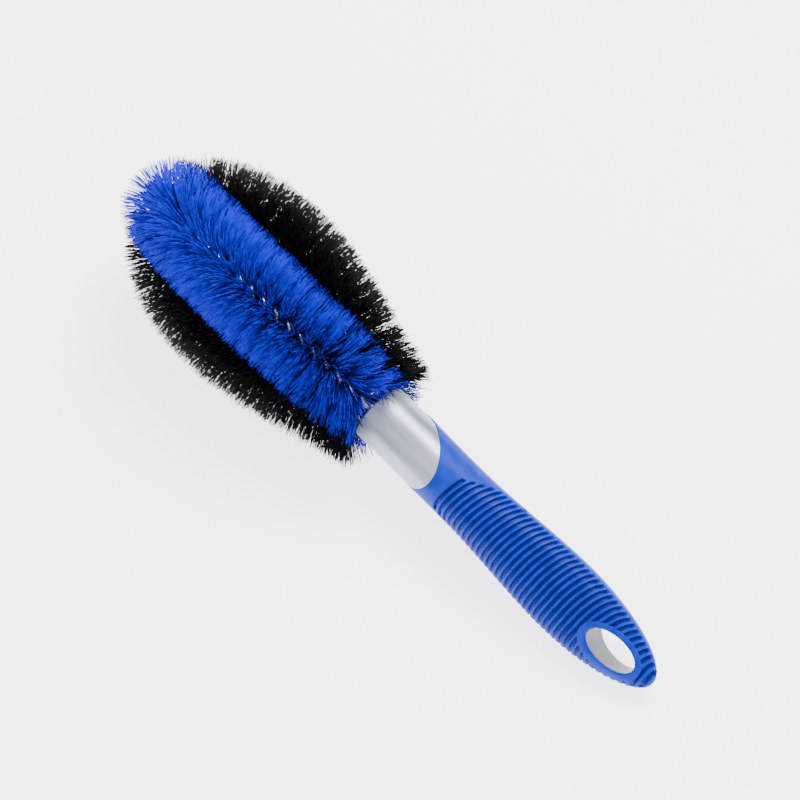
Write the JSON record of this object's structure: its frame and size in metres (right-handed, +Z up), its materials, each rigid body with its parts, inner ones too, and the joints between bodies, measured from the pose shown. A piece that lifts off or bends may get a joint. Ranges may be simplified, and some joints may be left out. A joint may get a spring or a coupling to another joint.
{
  "type": "wheel brush",
  "caption": "Hand-held brush with an egg-shaped head of twisted-wire bristle strips and a ribbed soft-grip handle with a hang hole, for cleaning vehicle wheels.",
  "frame": {"origin": "on the surface that the brush lies on, under the middle of its box", "axes": "+X from the handle towards the head, +Z up, the brush lying as it rests with its head on two strips and the end of its handle down"},
  "size_m": [0.2665, 0.07, 0.0719],
  "materials": {
    "core_plastic": "satin silver-grey moulded plastic",
    "grip_rubber": "matte blue thermoplastic rubber with a fine texture",
    "wire_steel": "bright galvanised steel wire",
    "blue_bristle": "slightly clear blue filament",
    "black_bristle": "glossy black filament"
  },
  "bodies": {
    "root": {"handle_core": "core_plastic", "grip_overmould": "grip_rubber", "blue_wire_a": "wire_steel", "blue_wire_b": "wire_steel", "black_wire_a": "wire_steel", "black_wire_b": "wire_steel", "blue_bristles_upper": "blue_bristle", "blue_bristles_tip": "blue_bristle", "blue_bristles_lower": "blue_bristle", "black_bristles_left": "black_bristle", "black_bristles_tip": "black_bristle", "black_bristles_right": "black_bristle"}
  },
  "joints": []
}
